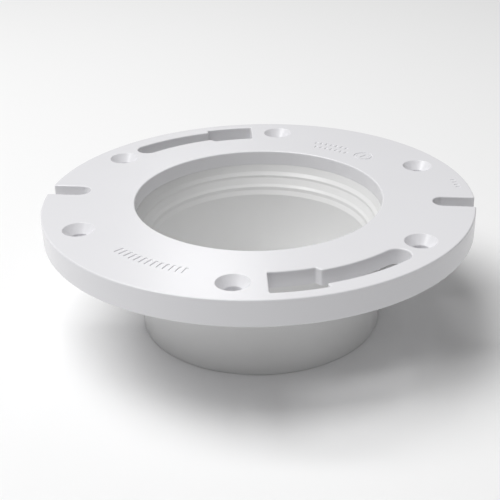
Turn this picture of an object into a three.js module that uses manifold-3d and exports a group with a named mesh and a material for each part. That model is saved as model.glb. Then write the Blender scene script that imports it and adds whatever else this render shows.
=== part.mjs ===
// A plastic toilet flange (closet flange) for 3 inch and 4 inch drain pipe.
//
// A flat ring is screwed to the bathroom floor. Two closet bolts stand in its two stepped slots and hold
// the toilet down. The ring sits on a hub, a short stepped tube that slides over a 3 inch pipe or into a
// 4 inch one.
//
// Millimetres, +Z up. The origin is the centre of the hub's bottom edge, where the flange stands when it is
// loose. X runs along the two open side slots. Angles are in degrees about +Z, from +X.

import * as THREE from 'three';
import { mergeVertices } from 'three/addons/utils/BufferGeometryUtils.js';
import Module from 'manifold-3d';

const wasm = await Module();
wasm.setup();

// ---- Driving dimensions ----

const TOTAL_HEIGHT = 55.3;
const JOINT_GAP = 0.3;              // solvent-weld gap between the ring and the hub
const CUT_OVERRUN = 2;              // how far a cutter runs past the face it cuts

// The ring
const RING_RADIUS = 88.9;           // 7 in across
const THROAT_RADIUS = 51.15;        // the hole in the ring, the inside of a 4 in pipe
const PLATE_THICKNESS = 6.4;        // 1/4 in
const RIM_HEIGHT = 10.7;            // top face to floor face
const RIM_WALL = 3.5;
const BOLT_CIRCLE_RADIUS = 76.2;    // 6 in bolt circle for the screws and the closet bolts

// The ring's underside
const SOCKET_RADIUS = 56.1;         // holds the hub's head
const SOCKET_WALL = 3.4;
const RIB_WIDTH = 3;
const RIB_ANGLES = [-12, 12, 30, 60, 90, 150];   // each is repeated half a turn round
const SCREW_BOSS_RADIUS = 8.2;

// Six countersunk screw holes, between the slots
const SCREW_COUNT = 6;
const FIRST_SCREW_ANGLE = 30;
const SCREW_HOLE_RADIUS = 3.4;
const COUNTERSINK_RADIUS = 6.35;
const COUNTERSINK_DEPTH = 3.5;

// Two closet-bolt slots. The bolt's head drops through the wide end and turns under the narrow one.
const SLOT_START_ANGLE = -80.6;     // square end of the wide part
const SLOT_STEP_ANGLE = -66;        // where the wide part meets the narrow part
const SLOT_TIP_ANGLE = -37.4;       // round tip of the narrow part
const SLOT_WIDE_WIDTH = 15;
const SLOT_NARROW_WIDTH = 9.7;
const SLOT_STEP_SLANT = 1.2;        // the step's slant along the inner edge, in degrees

// Two open side slots, along X
const SIDE_SLOT_WIDTH = 9;

// The hub
const HUB_HEAD_RADIUS = SOCKET_RADIUS - JOINT_GAP;
const HUB_HEAD_BOTTOM = 36;         // the head's straight side ends here
const HUB_TAPER_BOTTOM = 31;
const HUB_RADIUS = 51.1;            // fits inside a 4 in pipe
const HUB_END_CHAMFER = 0.5;
const BORE_RADIUS = 44.6;           // at the bottom, slides over a 3 in pipe

// The hub's throat narrows from the ring's hole to the bore in three cones. Below each of the first two are
// a flatter ledge and a short, nearly upright wall. From the top down, as [radius, depth below the top face].
const THROAT_STEPS = [
  [51.15, PLATE_THICKNESS + JOINT_GAP],
  [49.95, 9.4],
  [48.75, 10.9],
  [48.6, 11.9],
  [47.2, 14.5],
  [46.3, 15.6],
  [46.1, 17.0],
  [45.1, 19.0],
];

// Smoothness
const RING_SEGMENTS = 72;
const HOLE_SEGMENTS = 24;
const ARC_DIVISIONS = 12;

const PLATE_UNDERSIDE = TOTAL_HEIGHT - PLATE_THICKNESS;
const FLOOR_FACE = TOTAL_HEIGHT - RIM_HEIGHT;
const HALF_TURN = 180;
const FULL_TURN = 360;

// ---- Helpers ----

const radians = THREE.MathUtils.degToRad;

// A closed three.js geometry as a solid that can be cut and joined
function solidOf(geometry) {
  const bare = geometry.index ? geometry.toNonIndexed() : geometry.clone();
  bare.deleteAttribute('normal');
  bare.deleteAttribute('uv');
  const merged = mergeVertices(bare, 1e-4);
  const mesh = new wasm.Mesh({
    numProp: 3,
    vertProperties: new Float32Array(merged.attributes.position.array),
    triVerts: new Uint32Array(merged.index.array),
  });
  mesh.merge();
  return new wasm.Manifold(mesh);
}

// The cut solid back as a three.js geometry with flat-shaded faces
function geometryOf(solid) {
  const mesh = solid.getMesh();
  const indexed = new THREE.BufferGeometry();
  indexed.setAttribute('position', new THREE.BufferAttribute(mesh.vertProperties, 3));
  indexed.setIndex(new THREE.BufferAttribute(mesh.triVerts, 1));
  const geometry = indexed.toNonIndexed();
  geometry.computeVertexNormals();
  return geometry;
}

// A solid of revolution about Z from [radius, height] points that run up the outside and down the inside
function turned(profile, segments) {
  const points = profile.map(([radius, height]) => new THREE.Vector2(radius, height));
  if (profile[0][0] > 0) {
    points.push(points[0].clone());
  }
  return solidOf(new THREE.LatheGeometry(points, segments).rotateX(Math.PI / 2));
}

// An upright prism between two heights
function prism(shape, bottom, top) {
  const geometry = new THREE.ExtrudeGeometry(shape, {
    depth: top - bottom,
    bevelEnabled: false,
    curveSegments: ARC_DIVISIONS,
  });
  return solidOf(geometry.translate(0, 0, bottom));
}

// A point at a radius and an angle about the flange's axis
function polar(radius, angle) {
  return [radius * Math.cos(radians(angle)), radius * Math.sin(radians(angle))];
}

function rotated(solid, angle) {
  return solid.rotate([0, 0, angle]);
}

// ---- Flange ring ----

// The ring before it is cut: a plate as deep as its rim, with the socket for the hub's head below the throat
function ringBlank() {
  return turned([
    [SOCKET_RADIUS, FLOOR_FACE],
    [RING_RADIUS, FLOOR_FACE],
    [RING_RADIUS, TOTAL_HEIGHT],
    [THROAT_RADIUS, TOTAL_HEIGHT],
    [THROAT_RADIUS, PLATE_UNDERSIDE],
    [SOCKET_RADIUS, PLATE_UNDERSIDE],
  ], RING_SEGMENTS);
}

// A rib between the socket wall and the rim
function rib(angle) {
  const length = RING_RADIUS - SOCKET_RADIUS;
  const height = RIM_HEIGHT + CUT_OVERRUN;
  const bar = new THREE.BoxGeometry(length, RIB_WIDTH, height);
  bar.translate(SOCKET_RADIUS + length / 2, 0, PLATE_UNDERSIDE - height / 2);
  return rotated(solidOf(bar), angle);
}

// The solid post round a screw hole
function screwBoss(angle) {
  const height = RIM_HEIGHT + CUT_OVERRUN;
  const post = new THREE.CylinderGeometry(SCREW_BOSS_RADIUS, SCREW_BOSS_RADIUS, height, HOLE_SEGMENTS);
  const [x, y] = polar(BOLT_CIRCLE_RADIUS, angle);
  return solidOf(post.rotateX(Math.PI / 2).translate(x, y, PLATE_UNDERSIDE - height / 2));
}

function screwAngles() {
  return Array.from({ length: SCREW_COUNT }, (_, i) => FIRST_SCREW_ANGLE + (i * FULL_TURN) / SCREW_COUNT);
}

// The hollow under the plate, between the socket wall and the rim, less its ribs and screw bosses
function undersidePockets() {
  let pockets = turned([
    [SOCKET_RADIUS + SOCKET_WALL, FLOOR_FACE - CUT_OVERRUN],
    [RING_RADIUS - RIM_WALL, FLOOR_FACE - CUT_OVERRUN],
    [RING_RADIUS - RIM_WALL, PLATE_UNDERSIDE],
    [SOCKET_RADIUS + SOCKET_WALL, PLATE_UNDERSIDE],
  ], RING_SEGMENTS);
  for (const angle of RIB_ANGLES) {
    pockets = pockets.subtract(rib(angle)).subtract(rib(angle + HALF_TURN));
  }
  for (const angle of screwAngles()) {
    pockets = pockets.subtract(screwBoss(angle));
  }
  return pockets;
}

// One closet-bolt slot: a square-ended wide part that steps down to a narrow part with a round tip
function boltSlot() {
  const innerWide = BOLT_CIRCLE_RADIUS - SLOT_WIDE_WIDTH / 2;
  const outerWide = BOLT_CIRCLE_RADIUS + SLOT_WIDE_WIDTH / 2;
  const tipRadius = SLOT_NARROW_WIDTH / 2;
  const innerNarrow = BOLT_CIRCLE_RADIUS - tipRadius;
  const outerNarrow = BOLT_CIRCLE_RADIUS + tipRadius;
  const start = radians(SLOT_START_ANGLE);
  const step = radians(SLOT_STEP_ANGLE);
  const slantedStep = radians(SLOT_STEP_ANGLE + SLOT_STEP_SLANT);
  const tipAngle = SLOT_TIP_ANGLE - THREE.MathUtils.radToDeg(tipRadius / BOLT_CIRCLE_RADIUS);
  const tip = radians(tipAngle);

  const outline = new THREE.Shape();
  outline.moveTo(...polar(innerWide, SLOT_START_ANGLE));
  outline.absarc(0, 0, outerWide, start, step, false);
  outline.absarc(0, 0, outerNarrow, step, tip, false);
  outline.absarc(...polar(BOLT_CIRCLE_RADIUS, tipAngle), tipRadius, tip, tip + Math.PI, false);
  outline.absarc(0, 0, innerNarrow, tip, slantedStep, true);
  outline.absarc(0, 0, innerWide, step, start, true);
  return prism(outline, FLOOR_FACE - CUT_OVERRUN, TOTAL_HEIGHT + CUT_OVERRUN);
}

// One open side slot along +X, from its round inner end out through the rim
function sideSlot() {
  const halfWidth = SIDE_SLOT_WIDTH / 2;
  const outline = new THREE.Shape();
  outline.moveTo(RING_RADIUS + CUT_OVERRUN, -halfWidth);
  outline.lineTo(RING_RADIUS + CUT_OVERRUN, halfWidth);
  outline.absarc(BOLT_CIRCLE_RADIUS, 0, halfWidth, Math.PI / 2, (3 * Math.PI) / 2, false);
  return prism(outline, FLOOR_FACE - CUT_OVERRUN, TOTAL_HEIGHT + CUT_OVERRUN);
}

// A screw hole with its countersink
function screwHole(angle) {
  const flare = (COUNTERSINK_RADIUS - SCREW_HOLE_RADIUS) / COUNTERSINK_DEPTH;
  const hole = turned([
    [0, FLOOR_FACE - CUT_OVERRUN],
    [SCREW_HOLE_RADIUS, FLOOR_FACE - CUT_OVERRUN],
    [SCREW_HOLE_RADIUS, TOTAL_HEIGHT - COUNTERSINK_DEPTH],
    [COUNTERSINK_RADIUS + flare * CUT_OVERRUN, TOTAL_HEIGHT + CUT_OVERRUN],
    [0, TOTAL_HEIGHT + CUT_OVERRUN],
  ], HOLE_SEGMENTS);
  const [x, y] = polar(BOLT_CIRCLE_RADIUS, angle);
  return hole.translate([x, y, 0]);
}

function flangeRing() {
  let ring = ringBlank().subtract(undersidePockets());
  for (const turn of [0, HALF_TURN]) {
    ring = ring.subtract(rotated(boltSlot(), turn));
    ring = ring.subtract(rotated(sideSlot(), turn));
  }
  for (const angle of screwAngles()) {
    ring = ring.subtract(screwHole(angle));
  }
  return ring;
}

// ---- Hub ----

// A tube whose wide head sits in the ring's socket. The throat steps in from the ring's hole to the bore.
function hub() {
  const headTop = PLATE_UNDERSIDE - JOINT_GAP;
  const throat = THROAT_STEPS.map(([radius, depth]) => [radius, TOTAL_HEIGHT - depth]);
  return turned([
    [BORE_RADIUS, 0],
    [HUB_RADIUS - HUB_END_CHAMFER, 0],
    [HUB_RADIUS, HUB_END_CHAMFER],
    [HUB_RADIUS, HUB_TAPER_BOTTOM],
    [HUB_HEAD_RADIUS, HUB_HEAD_BOTTOM],
    [HUB_HEAD_RADIUS, headTop],
    ...throat,
  ], RING_SEGMENTS);
}

// ---- Assembly ----

const ringPlastic = new THREE.MeshStandardMaterial({ color: 0xedecf1, roughness: 0.3, metalness: 0 });
const hubPlastic = new THREE.MeshStandardMaterial({ color: 0xe6e6e4, roughness: 0.35, metalness: 0 });

function piece(name, solid, material) {
  const mesh = new THREE.Mesh(geometryOf(solid), material);
  mesh.name = name;
  return mesh;
}

const toiletFlange = new THREE.Group();
toiletFlange.add(piece('flange_ring', flangeRing(), ringPlastic));
toiletFlange.add(piece('hub', hub(), hubPlastic));

export default toiletFlange;
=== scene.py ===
"""The looks of a plastic toilet flange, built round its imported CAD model.

The CAD ring and hub are faceted, so each is replaced by a fine mesh of the same size with rounded edges.
Lengths are millimetres, except where a comment says metres. Angles are degrees about +Z, from +X.
X runs along the two open side slots.
"""

import math

import bmesh
import bpy
from mathutils import Matrix, Vector


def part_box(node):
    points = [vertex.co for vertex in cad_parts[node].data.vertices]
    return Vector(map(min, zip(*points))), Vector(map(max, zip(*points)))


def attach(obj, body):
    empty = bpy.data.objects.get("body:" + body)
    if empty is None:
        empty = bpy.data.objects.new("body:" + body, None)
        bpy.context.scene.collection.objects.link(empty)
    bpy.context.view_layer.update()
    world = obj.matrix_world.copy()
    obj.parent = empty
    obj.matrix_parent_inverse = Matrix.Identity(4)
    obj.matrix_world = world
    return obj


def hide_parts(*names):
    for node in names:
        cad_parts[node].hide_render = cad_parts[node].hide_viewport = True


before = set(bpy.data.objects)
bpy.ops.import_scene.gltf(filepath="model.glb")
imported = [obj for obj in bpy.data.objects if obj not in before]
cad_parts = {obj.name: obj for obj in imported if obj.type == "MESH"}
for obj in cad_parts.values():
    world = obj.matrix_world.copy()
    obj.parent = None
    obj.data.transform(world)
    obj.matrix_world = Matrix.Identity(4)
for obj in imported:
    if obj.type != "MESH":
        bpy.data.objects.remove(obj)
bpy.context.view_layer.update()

MM = 0.001
FULL_TURN = 360.0
HALF_TURN = 180.0

# ---- Sizes from the CAD frame ----

ring_low, ring_high = (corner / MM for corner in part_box("flange_ring"))
hub_low, hub_high = (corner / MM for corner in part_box("hub"))
TOP = ring_high.z
FLOOR_FACE = ring_low.z
RING_RADIUS = ring_high.y
HEAD_RADIUS = hub_high.y

# ---- Sizes repeated from the CAD part ----

PLATE_THICKNESS = 6.4
PLATE_UNDERSIDE = TOP - PLATE_THICKNESS
THROAT_RADIUS = 51.15
RIM_WALL = 3.5
BOLT_CIRCLE_RADIUS = 76.2
SOCKET_RADIUS = 56.1
SOCKET_WALL = 3.4
RIB_WIDTH = 3.0
BOSS_RADIUS = 8.2
SCREW_ANGLES = [30, 90, 150, 210, 270, 330]
PLAIN_RIB_ANGLES = [-12, 12, 60, 168, 192, 240]
SCREW_HOLE_RADIUS = 3.4
COUNTERSINK_RADIUS = 6.35
COUNTERSINK_DEPTH = 3.5
SLOT_START_ANGLE = -80.6
SLOT_STEP_ANGLE = -66.0
SLOT_STEP_SLANT = 1.2
SLOT_TIP_ANGLE = -37.4
SLOT_WIDE_WIDTH = 15.0
SLOT_NARROW_WIDTH = 9.7
SIDE_SLOT_WIDTH = 9.0
HUB_RADIUS = 51.1

# ---- Rounding of the moulded edges ----

ARC_STEP = 15.0                  # degrees of turn to each facet of a rounded edge
OUTLINE_STEP = 1.2               # degrees about the axis to each point of a long arc
RING_SEGMENTS = 300
HOLE_SEGMENTS = 72
RIM_TOP_EDGE = 0.6
RIM_FLOOR_EDGE = 0.5
THROAT_TOP_EDGE = 0.6
SLOT_TOP_EDGE = 0.6
SLOT_CORNER = 0.7
COUNTERSINK_EDGE = 0.35
POCKET_CORNER = 1.8
POCKET_EDGE = 0.4
CUT_OVERRUN = 2.0                # how far a cutter runs past the face it cuts
LIP_RISE = 0.002                 # keeps a cutter's flared lip just clear of the face it rounds
LIP_REACH = 0.05
SMOOTH_ANGLE = 32.0              # two faces that meet at more than this keep a crisp edge
STRAIGHT = 1e-3                  # radians of turn below which a corner counts as straight
ROUNDING_SHARE = 0.49            # the most of a side that the rounding of one corner may use
SHARPEST_MITRE = 0.5             # limits how far an offset outline runs out at a sharp corner
WELD_DISTANCE = 1e-8             # metres
FULL_NORMAL_WEIGHT = 100         # large faces count most in the shading


# ---- Outlines ----

def polar(radius, angle):
    """The x and y of a point at a radius and an angle about the axis."""
    return radius * math.cos(math.radians(angle)), radius * math.sin(math.radians(angle))


def inner_arc(radius, start, end, step=OUTLINE_STEP, centre=(0.0, 0.0)):
    """The points of an arc between its two ends, without the ends, as sharp corners."""
    count = max(2, math.ceil(abs(end - start) / step))
    points = []
    for i in range(1, count):
        x, y = polar(radius, start + (end - start) * i / count)
        points.append((centre[0] + x, centre[1] + y, 0.0))
    return points


def rounded(corners):
    """A closed outline from (x, y, radius) corners, each turned into an arc of its radius."""
    outline = []
    for i, (x, y, radius) in enumerate(corners):
        here = Vector((x, y))
        back = Vector(corners[i - 1][:2]) - here
        ahead = Vector(corners[(i + 1) % len(corners)][:2]) - here
        reach = min(back.length, ahead.length)
        turn = math.pi - back.angle(ahead)
        if radius <= 0 or turn < STRAIGHT:
            outline.append(here)
            continue
        tangent = min(radius * math.tan(turn / 2), ROUNDING_SHARE * reach)
        outline.extend(fillet(here, back.normalized(), ahead.normalized(), tangent, turn))
    return outline


def fillet(corner, back, ahead, tangent, turn):
    """The points of the arc that touches both sides of a corner at one distance from it."""
    radius = tangent / math.tan(turn / 2)
    centre = corner + (back + ahead).normalized() * radius / math.cos(turn / 2)
    first = corner + back * tangent - centre
    steps = max(2, math.ceil(math.degrees(turn) / ARC_STEP))
    sense = 1.0 if first.y * back.x - first.x * back.y > 0 else -1.0
    points = []
    for i in range(steps + 1):
        swing = sense * turn * i / steps
        cos, sin = math.cos(swing), math.sin(swing)
        points.append(centre + Vector((first.x * cos - first.y * sin, first.x * sin + first.y * cos)))
    return points


def offset(outline, distance):
    """The outline moved outwards by a small distance. It runs anticlockwise."""
    moved = []
    for i, here in enumerate(outline):
        into = (here - outline[i - 1]).normalized()
        out = (outline[(i + 1) % len(outline)] - here).normalized()
        normal = Vector((into.y + out.y, -into.x - out.x)).normalized()
        stretch = max(SHARPEST_MITRE, normal.x * into.y - normal.y * into.x)
        moved.append(here + normal * distance / stretch)
    return moved


def bolt_slot_outline():
    """A closet-bolt slot: a square-ended wide part that steps down to a narrow part with a round tip."""
    wide_in = BOLT_CIRCLE_RADIUS - SLOT_WIDE_WIDTH / 2
    wide_out = BOLT_CIRCLE_RADIUS + SLOT_WIDE_WIDTH / 2
    tip_radius = SLOT_NARROW_WIDTH / 2
    narrow_in = BOLT_CIRCLE_RADIUS - tip_radius
    narrow_out = BOLT_CIRCLE_RADIUS + tip_radius
    tip = SLOT_TIP_ANGLE - math.degrees(tip_radius / BOLT_CIRCLE_RADIUS)
    slant = SLOT_STEP_ANGLE + SLOT_STEP_SLANT
    tip_centre = polar(BOLT_CIRCLE_RADIUS, tip)
    return rounded([
        (*polar(wide_in, SLOT_START_ANGLE), SLOT_CORNER),
        (*polar(wide_out, SLOT_START_ANGLE), SLOT_CORNER),
        *inner_arc(wide_out, SLOT_START_ANGLE, SLOT_STEP_ANGLE),
        (*polar(wide_out, SLOT_STEP_ANGLE), SLOT_CORNER),
        (*polar(narrow_out, SLOT_STEP_ANGLE), SLOT_CORNER),
        *inner_arc(narrow_out, SLOT_STEP_ANGLE, tip),
        *inner_arc(tip_radius, tip, tip + HALF_TURN, ARC_STEP / 2, tip_centre),
        *inner_arc(narrow_in, tip, slant),
        (*polar(narrow_in, slant), 2 * SLOT_CORNER),
        (*polar(wide_in, SLOT_STEP_ANGLE), SLOT_CORNER),
        *inner_arc(wide_in, SLOT_STEP_ANGLE, SLOT_START_ANGLE),
    ])


def side_slot_outline():
    """An open side slot along +X. Its mouth flares into the rim's side with rounded corners."""
    half = SIDE_SLOT_WIDTH / 2
    mouth = half + SLOT_CORNER
    mouth_x = math.sqrt(RING_RADIUS ** 2 - mouth ** 2)
    outside = RING_RADIUS + CUT_OVERRUN
    corner_x = mouth_x - SLOT_CORNER
    quarter = HALF_TURN / 2
    return rounded([
        (outside, -mouth, 0.0),
        (outside, mouth, 0.0),
        (mouth_x, mouth, 0.0),
        *inner_arc(SLOT_CORNER, 0, -quarter, ARC_STEP, (corner_x, mouth)),
        (corner_x, half, 0.0),
        *inner_arc(half, quarter, HALF_TURN + quarter, ARC_STEP / 2, (BOLT_CIRCLE_RADIUS, 0.0)),
        (corner_x, -half, 0.0),
        *inner_arc(SLOT_CORNER, quarter, 0, ARC_STEP, (corner_x, -mouth)),
        (mouth_x, -mouth, 0.0),
    ])


def rib_side(angle, side, low, high):
    """The corners along one side of a rib, from one radius to another. side is 1 or -1.

    A rib with a screw boss bulges round the boss on the way.
    """
    half = RIB_WIDTH / 2
    along = Vector(polar(1.0, angle))
    across = Vector((-along.y, along.x)) * side

    def corner(distance, radius):
        return (*(along * distance + across * half), radius)

    ends = [corner(math.sqrt(r ** 2 - half ** 2), POCKET_CORNER) for r in (low, high)]
    if angle % FULL_TURN not in SCREW_ANGLES:
        return ends
    reach = math.sqrt(BOSS_RADIUS ** 2 - half ** 2)
    spread = math.degrees(math.asin(half / BOSS_RADIUS))
    towards_rim = -1 if high > low else 1
    start = angle + (HALF_TURN - side * spread if high > low else side * spread)
    sweep = towards_rim * side * (HALF_TURN - 2 * spread)
    centre = tuple(along * BOLT_CIRCLE_RADIUS)
    boss = [
        corner(BOLT_CIRCLE_RADIUS + towards_rim * reach, POCKET_CORNER),
        *inner_arc(BOSS_RADIUS, start, start + sweep, ARC_STEP, centre),
        corner(BOLT_CIRCLE_RADIUS - towards_rim * reach, POCKET_CORNER),
    ]
    return [ends[0], *boss, ends[1]]


def pocket_outline(first_rib, last_rib):
    """The hollow under the plate between two ribs, the socket wall and the rim."""
    inner = SOCKET_RADIUS + SOCKET_WALL
    outer = RING_RADIUS - RIM_WALL
    clear = math.degrees(RIB_WIDTH / 2 / inner)
    return rounded([
        *rib_side(first_rib, 1, inner, outer),
        *inner_arc(outer, first_rib + clear, last_rib - clear, 2 * OUTLINE_STEP),
        *rib_side(last_rib, -1, outer, inner),
        *inner_arc(inner, last_rib - clear, first_rib + clear, 2 * OUTLINE_STEP),
    ])


# ---- Mesh building ----

def loft(bm, rings):
    """Quads between rings of points, each ring closed, with a flat cap on both ends."""
    made = [[bm.verts.new(point * MM) for point in ring] for ring in rings]
    for low, high in zip(made, made[1:]):
        for i in range(len(low)):
            bm.faces.new((low[i - 1], low[i], high[i], high[i - 1]))
    bm.faces.new(reversed(made[0]))
    bm.faces.new(made[-1])


def prism(bm, outline, levels):
    """A closed upright solid whose outline is offset by a different amount at each (height, offset) level."""
    loft(bm, [[Vector((*point, height)) for point in offset(outline, grow)] for height, grow in levels])


def edge_levels(height, radius, direction):
    """(height, offset) levels that round a solid's edge as the cutter leaves it.

    direction is 1 where the cutter leaves upwards and -1 where it leaves downwards.
    """
    levels = []
    steps = math.ceil(90 / ARC_STEP)
    for i in range(steps + 1):
        swing = math.pi / 2 * i / steps
        rise = radius * (math.sin(swing) - 1) + LIP_RISE * i / steps
        levels.append((height + direction * rise, radius * (1 - math.cos(swing))))
    lip = radius + LIP_REACH
    levels.append((height + direction * LIP_RISE, lip))
    levels.append((height + direction * CUT_OVERRUN, lip))
    return levels if direction > 0 else levels[::-1]


def revolve(bm, profile, segments, centre=(0.0, 0.0)):
    """A solid of revolution about a vertical axis, from a closed outline of (radius, height) points."""
    columns = []
    for i in range(segments):
        angle = FULL_TURN * i / segments
        column = []
        for radius, height in profile:
            x, y = polar(radius, angle)
            column.append(bm.verts.new(Vector((centre[0] + x, centre[1] + y, height)) * MM))
        columns.append(column)
    for i, column in enumerate(columns):
        behind = columns[i - 1]
        for j in range(len(profile)):
            bm.faces.new((behind[j - 1], column[j - 1], column[j], behind[j]))
    bmesh.ops.remove_doubles(bm, verts=bm.verts, dist=WELD_DISTANCE)
    bmesh.ops.delete(bm, geom=[edge for edge in bm.edges if not edge.link_faces], context="EDGES")


def turned_copy(outline, angle):
    """The outline turned about the flange's axis."""
    cos, sin = math.cos(math.radians(angle)), math.sin(math.radians(angle))
    return [Vector((p.x * cos - p.y * sin, p.x * sin + p.y * cos)) for p in outline]


def new_object(name, build):
    """An object whose mesh is filled by build(bm), with its faces pointing out."""
    bm = bmesh.new()
    build(bm)
    bmesh.ops.recalc_face_normals(bm, faces=bm.faces)
    mesh = bpy.data.meshes.new(name)
    bm.to_mesh(mesh)
    bm.free()
    made = bpy.data.objects.new(name, mesh)
    bpy.context.scene.collection.objects.link(made)
    return made


def cut(target, cutter):
    """Takes the cutter's shape away from the target, and removes the cutter."""
    modifier = target.modifiers.new("cut", "BOOLEAN")
    modifier.object = cutter
    modifier.operation = "DIFFERENCE"
    modifier.solver = "EXACT"
    view = bpy.context.evaluated_depsgraph_get()
    result = bpy.data.meshes.new_from_object(target.evaluated_get(view))
    target.modifiers.clear()
    target.data = result
    bpy.data.objects.remove(cutter)
    require_closed(target)


def require_closed(piece):
    """Stops the script if a cut has left a hole in the mesh."""
    bm = bmesh.new()
    bm.from_mesh(piece.data)
    open_edges = sum(len(edge.link_faces) != 2 for edge in bm.edges)
    bm.free()
    if open_edges:
        raise RuntimeError(f"{piece.name} has {open_edges} open edges")


def smooth(piece):
    """Smooth shading with crisp edges where two faces meet sharply, weighted so that flat faces look flat."""
    for face in piece.data.polygons:
        face.use_smooth = True
    piece.data.set_sharp_from_angle(angle=math.radians(SMOOTH_ANGLE))
    weighted = piece.modifiers.new("weighted normals", "WEIGHTED_NORMAL")
    weighted.keep_sharp = True
    weighted.weight = FULL_NORMAL_WEIGHT


# ---- Flange ring ----

def ring_blank(bm):
    revolve(bm, rounded([
        (SOCKET_RADIUS, FLOOR_FACE, RIM_FLOOR_EDGE),
        (RING_RADIUS, FLOOR_FACE, RIM_FLOOR_EDGE),
        (RING_RADIUS, TOP, RIM_TOP_EDGE),
        (THROAT_RADIUS, TOP, THROAT_TOP_EDGE),
        (THROAT_RADIUS, PLATE_UNDERSIDE, 0.0),
        (SOCKET_RADIUS, PLATE_UNDERSIDE, 0.0),
    ]), RING_SEGMENTS)


def pocket_cutters(bm):
    """One closed solid for each hollow between two neighbouring ribs."""
    ribs = sorted((angle + FULL_TURN) % FULL_TURN for angle in SCREW_ANGLES + PLAIN_RIB_ANGLES)
    levels = [*edge_levels(FLOOR_FACE, POCKET_EDGE, -1), (PLATE_UNDERSIDE, 0.0)]
    for i, first in enumerate(ribs):
        last = ribs[(i + 1) % len(ribs)]
        if last < first:
            last += FULL_TURN
        prism(bm, pocket_outline(first, last), levels)


def slot_cutters(bm):
    """The two closet-bolt slots and the two side slots, each half a turn from its twin."""
    levels = [(FLOOR_FACE - CUT_OVERRUN, 0.0), *edge_levels(TOP, SLOT_TOP_EDGE, 1)]
    for outline in (bolt_slot_outline(), side_slot_outline()):
        for angle in (0, HALF_TURN):
            prism(bm, turned_copy(outline, angle), levels)


def screw_cutters(bm):
    """Six screw holes with countersinks. The countersink's mouth is rounded into the top face."""
    lip = COUNTERSINK_RADIUS + 2 * COUNTERSINK_EDGE
    profile = rounded([
        (0.0, FLOOR_FACE - CUT_OVERRUN, 0.0),
        (SCREW_HOLE_RADIUS, FLOOR_FACE - CUT_OVERRUN, 0.0),
        (SCREW_HOLE_RADIUS, TOP - COUNTERSINK_DEPTH, COUNTERSINK_EDGE),
        (COUNTERSINK_RADIUS, TOP, COUNTERSINK_EDGE),
        (lip, TOP + LIP_RISE, 0.0),
        (lip, TOP + CUT_OVERRUN, 0.0),
        (0.0, TOP + CUT_OVERRUN, 0.0),
    ])
    for angle in SCREW_ANGLES:
        revolve(bm, profile, HOLE_SEGMENTS, polar(BOLT_CIRCLE_RADIUS, angle))


# Shallow moulded marks on the top face: rows of plain bars and one date dial. They carry no lettering.
MARK_DEPTH = 0.3
MARK_BEVEL = 0.15
BAR_WIDTH = 1.3
BAR_STEP = 2.6                   # from one bar of a row to the next
MARK_ROWS = [                    # (middle angle, radius, length of a bar, number of bars)
    (-117.4, 71.2, 4.4, 13),
    (66.0, 66.5, 2.6, 7),
    (64.0, 61.8, 2.6, 7),
    (13.0, 84.0, 2.2, 4),
]
DIAL_ANGLE = 49.0
DIAL_DISTANCE = 64.0
DIAL_RADIUS = 4.4
DIAL_GROOVE = 0.8
DIAL_PIPS = 12
PIP_RADIUS = 0.35
POINTER_LENGTH = 4.6
PIP_CLEARANCE = 30.0             # degrees kept free of pips on each side of the pointer


def mark_prism(bm, outline):
    """A shallow engraving with sloping sides."""
    prism(bm, outline, [
        (TOP - MARK_DEPTH, -MARK_BEVEL),
        (TOP, 0.0),
        (TOP + CUT_OVERRUN, 0.0),
    ])


def bar_outline(angle, radius, length, width):
    """A bar that points away from the axis, centred at a radius and an angle."""
    outline = rounded([
        (radius - length / 2, -width / 2, width / 3),
        (radius + length / 2, -width / 2, width / 3),
        (radius + length / 2, width / 2, width / 3),
        (radius - length / 2, width / 2, width / 3),
    ])
    return turned_copy(outline, angle)


def bar_rows(bm):
    """Rows of short bars along arcs about the flange's axis."""
    for middle, radius, length, count in MARK_ROWS:
        step = math.degrees(BAR_STEP / radius)
        for i in range(count):
            mark_prism(bm, bar_outline(middle + step * (i - (count - 1) / 2), radius, length, BAR_WIDTH))


def date_dial(bm):
    """A ring-shaped groove with a pointer across its middle and pips around the inside."""
    centre = polar(DIAL_DISTANCE, DIAL_ANGLE)
    revolve(bm, [
        (DIAL_RADIUS - DIAL_GROOVE, TOP + CUT_OVERRUN),
        (DIAL_RADIUS - DIAL_GROOVE, TOP),
        (DIAL_RADIUS - DIAL_GROOVE + MARK_BEVEL, TOP - MARK_DEPTH),
        (DIAL_RADIUS - MARK_BEVEL, TOP - MARK_DEPTH),
        (DIAL_RADIUS, TOP),
        (DIAL_RADIUS, TOP + CUT_OVERRUN),
    ], HOLE_SEGMENTS, centre)
    mark_prism(bm, bar_outline(DIAL_ANGLE, DIAL_DISTANCE, POINTER_LENGTH, 2 * PIP_RADIUS))
    pip_circle = DIAL_RADIUS - DIAL_GROOVE - 2 * PIP_RADIUS
    for i in range(DIAL_PIPS):
        angle = FULL_TURN * i / DIAL_PIPS
        x, y = polar(pip_circle, angle)
        if abs(math.sin(math.radians(angle - DIAL_ANGLE))) < math.sin(math.radians(PIP_CLEARANCE)):
            continue
        corners = inner_arc(PIP_RADIUS, 0, FULL_TURN, 2 * ARC_STEP, (centre[0] + x, centre[1] + y))
        mark_prism(bm, [Vector(corner[:2]) for corner in corners])


def make_ring():
    ring = new_object("ring_moulding", ring_blank)
    cut(ring, new_object("pockets", pocket_cutters))
    cut(ring, new_object("slots", slot_cutters))
    cut(ring, new_object("screw_holes", screw_cutters))
    cut(ring, new_object("bars", bar_rows))
    cut(ring, new_object("dial", date_dial))
    smooth(ring)
    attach(ring, "root")
    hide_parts("flange_ring")
    return ring


# ---- Hub ----

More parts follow.
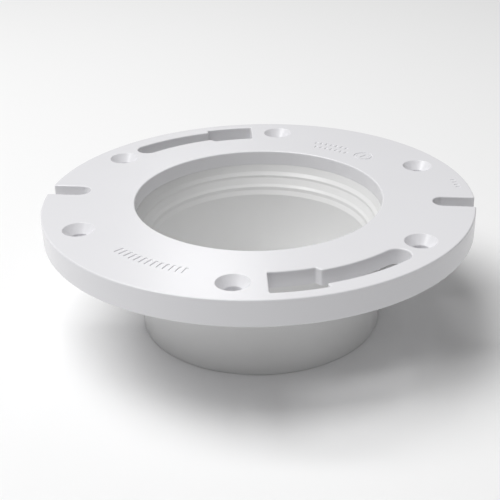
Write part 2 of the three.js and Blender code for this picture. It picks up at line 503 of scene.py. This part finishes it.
WELD_LINE = 0.05                 # hairline left between the hub's head and the ring
HUB_TAPER_TOP = 36.0
HUB_TAPER_BOTTOM = 31.0
BORE_RADIUS = 44.6
HUB_EDGE = 0.5
BORE_EDGE = 0.5
TAPER_EDGE = 2.5
WELD_EDGE = 0.1

# The throat's cones, ledges and short upright walls, from the top down, as (radius, depth below the top face,
# rounding)
THROAT_STEPS = [
    (51.15, PLATE_THICKNESS + WELD_LINE, WELD_EDGE),
    (49.95, 9.4, 0.6),
    (48.75, 10.9, 0.5),
    (48.6, 11.9, 0.3),
    (47.2, 14.5, 0.6),
    (46.3, 15.6, 0.5),
    (46.1, 17.0, 0.3),
    (45.1, 19.0, 0.6),
]


def hub_body(bm):
    throat = [(radius, TOP - depth, rounding) for radius, depth, rounding in THROAT_STEPS]
    revolve(bm, rounded([
        (BORE_RADIUS, 0.0, BORE_EDGE),
        (HUB_RADIUS, 0.0, HUB_EDGE),
        (HUB_RADIUS, HUB_TAPER_BOTTOM, TAPER_EDGE),
        (HEAD_RADIUS, HUB_TAPER_TOP, TAPER_EDGE),
        (HEAD_RADIUS, PLATE_UNDERSIDE - WELD_LINE, WELD_EDGE),
        *throat,
    ]), RING_SEGMENTS)


def make_hub():
    hub = new_object("hub_moulding", hub_body)
    smooth(hub)
    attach(hub, "root")
    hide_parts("hub")
    return hub


# ---- Materials ----

PVC_IOR = 1.5
CLOUD_SIZE = 26.0                # millimetres, as are the next four
RIPPLE_SIZE = 6.0
RIPPLE_HEIGHT = 0.02
GRAIN_SIZE = 0.5
GRAIN_HEIGHT = 0.002
RIPPLE_STRENGTH = 0.15
GRAIN_STRENGTH = 0.2
SMOOTH_NOISE = 1.0
FINE_NOISE = 2.0
EVEN = (1.0, 1.0, 1.0)

def noise(nodes, links, space, size, detail, stretch=EVEN):
    """Noise over the object whose features are about `size` millimetres across."""
    mapping = nodes.new("ShaderNodeMapping")
    mapping.inputs["Scale"].default_value = stretch
    links.new(space.outputs["Object"], mapping.inputs["Vector"])
    texture = nodes.new("ShaderNodeTexNoise")
    texture.inputs["Scale"].default_value = 1.0 / (size * MM)
    texture.inputs["Detail"].default_value = detail
    links.new(mapping.outputs["Vector"], texture.inputs["Vector"])
    return texture.outputs["Fac"]


def blend(nodes, links, factor, first, second):
    """A colour that runs from the first to the second as the factor goes from 0 to 1."""
    mix = nodes.new("ShaderNodeMix")
    mix.data_type = "RGBA"
    links.new(factor, mix.inputs["Factor"])
    mix.inputs["A"].default_value = (*first, 1.0)
    mix.inputs["B"].default_value = (*second, 1.0)
    return mix.outputs["Result"]


def moulded_pvc(name, colour, shade, roughness, flow_stretch):
    """Glossy white PVC: faint cloudy flow tones and the fine ripple of a moulded face."""
    material = bpy.data.materials.new(name)
    material.use_nodes = True
    nodes = material.node_tree.nodes
    links = material.node_tree.links
    shader = nodes["Principled BSDF"]
    space = nodes.new("ShaderNodeTexCoord")

    clouds = noise(nodes, links, space, CLOUD_SIZE, SMOOTH_NOISE, flow_stretch)
    tone = blend(nodes, links, clouds, colour, shade)
    links.new(tone, shader.inputs["Base Color"])

    shader.inputs["Roughness"].default_value = roughness
    shader.inputs["IOR"].default_value = PVC_IOR

    ripple = nodes.new("ShaderNodeBump")
    ripple.inputs["Strength"].default_value = RIPPLE_STRENGTH
    ripple.inputs["Distance"].default_value = RIPPLE_HEIGHT * MM
    links.new(noise(nodes, links, space, RIPPLE_SIZE, SMOOTH_NOISE), ripple.inputs["Height"])
    grain = nodes.new("ShaderNodeBump")
    grain.inputs["Strength"].default_value = GRAIN_STRENGTH
    grain.inputs["Distance"].default_value = GRAIN_HEIGHT * MM
    links.new(noise(nodes, links, space, GRAIN_SIZE, FINE_NOISE), grain.inputs["Height"])
    links.new(ripple.outputs["Normal"], grain.inputs["Normal"])
    links.new(grain.outputs["Normal"], shader.inputs["Normal"])
    return material


def dress(piece, material):
    """Gives the whole piece one material."""
    piece.data.materials.clear()
    piece.data.materials.append(material)


# ---- Stage and lights ----

PAPER = (0.90, 0.90, 0.90, 1.0)
FLOOR_WIDTH = 6.0                # metres
ROOM = (0.23, 0.23, 0.23, 1.0)
SOFTBOXES = [                    # (name, azimuth, elevation, distance and size in metres, brightness)
    ("key", -170.0, 67.0, 1.6, (1.2, 1.2), 5.9),
    ("window", 102.0, 30.0, 1.6, (0.20, 0.26), 3.5),
]


def make_floor():
    """A plain pale floor. It is clear from underneath, so that it doesn't hide the flange from below."""
    bpy.ops.mesh.primitive_plane_add(size=FLOOR_WIDTH, location=(0.0, 0.0, 0.0))
    floor = bpy.context.object
    floor.name = "floor"
    material = bpy.data.materials.new("paper")
    material.use_nodes = True
    tree = material.node_tree
    tree.nodes.clear()
    out = tree.nodes.new("ShaderNodeOutputMaterial")
    paper = tree.nodes.new("ShaderNodeBsdfDiffuse")
    paper.inputs["Color"].default_value = PAPER
    clear = tree.nodes.new("ShaderNodeBsdfTransparent")
    side = tree.nodes.new("ShaderNodeNewGeometry")
    mix = tree.nodes.new("ShaderNodeMixShader")
    tree.links.new(side.outputs["Backfacing"], mix.inputs[0])
    tree.links.new(paper.outputs[0], mix.inputs[1])
    tree.links.new(clear.outputs[0], mix.inputs[2])
    tree.links.new(mix.outputs[0], out.inputs["Surface"])
    floor.data.materials.append(material)


def make_world():
    """A plain room, the same in every direction."""
    world = bpy.data.worlds.new("studio")
    bpy.context.scene.world = world
    world.use_nodes = True
    world.node_tree.nodes["Background"].inputs["Color"].default_value = ROOM


def softbox(name, azimuth, elevation, distance, size, brightness):
    """A rectangular light facing the flange. Its distance and size are in metres, its brightness a radiance."""
    data = bpy.data.lights.new(name, "AREA")
    data.shape = "RECTANGLE"
    data.size, data.size_y = size
    data.energy = brightness * math.pi * size[0] * size[1]
    light = bpy.data.objects.new(name, data)
    flat = math.cos(math.radians(elevation))
    x, y = polar(flat, azimuth)
    middle = Vector((0.0, 0.0, TOP * MM))
    light.location = middle + Vector((x, y, math.sin(math.radians(elevation)))) * distance
    light.rotation_euler = (middle - light.location).to_track_quat("-Z", "Y").to_euler()
    light.visible_camera = False
    bpy.context.scene.collection.objects.link(light)


def make_lights():
    """A large soft light high on the left, and a small one behind for the gloss."""
    for box in SOFTBOXES:
        softbox(*box)


# ---- Camera ----

CAMERA_POSITION = Vector((49.1, -381.8, 221.4))
CAMERA_AIM = Vector((8.8, -22.2, 30.0))
CAMERA_ROLL = -0.88
CAMERA_LENS = 72.46
CAMERA_SHIFT = (-0.05, 0.05)     # how far the picture is moved off the lens's axis, in picture widths


def make_camera():
    """The camera, at the photograph's viewing angle."""
    data = bpy.data.cameras.new("camera")
    data.lens = CAMERA_LENS
    data.shift_x, data.shift_y = CAMERA_SHIFT
    camera = bpy.data.objects.new("camera", data)
    look = (CAMERA_AIM - CAMERA_POSITION).to_track_quat("-Z", "Y").to_matrix().to_4x4()
    roll = Matrix.Rotation(math.radians(CAMERA_ROLL), 4, "Z")
    camera.matrix_world = Matrix.Translation(CAMERA_POSITION * MM) @ look @ roll
    bpy.context.scene.collection.objects.link(camera)
    bpy.context.scene.camera = camera


# ---- Scene ----

WHITE = (0.80, 0.797, 0.82)
SHADED_WHITE = (0.785, 0.782, 0.803)
HUB_WHITE = (0.79, 0.79, 0.79)
SHADED_HUB_WHITE = (0.77, 0.77, 0.765)
RING_ROUGHNESS = 0.24
HUB_ROUGHNESS = 0.28
HUB_FLOW = (1.0, 1.0, 0.35)      # stretches the hub's clouds along its height

dress(make_ring(), moulded_pvc("ring pvc", WHITE, SHADED_WHITE, RING_ROUGHNESS, EVEN))
dress(make_hub(), moulded_pvc("hub pvc", HUB_WHITE, SHADED_HUB_WHITE, HUB_ROUGHNESS, HUB_FLOW))
make_floor()
make_world()
make_lights()
make_camera()
bpy.context.scene.view_settings.view_transform = "Standard"
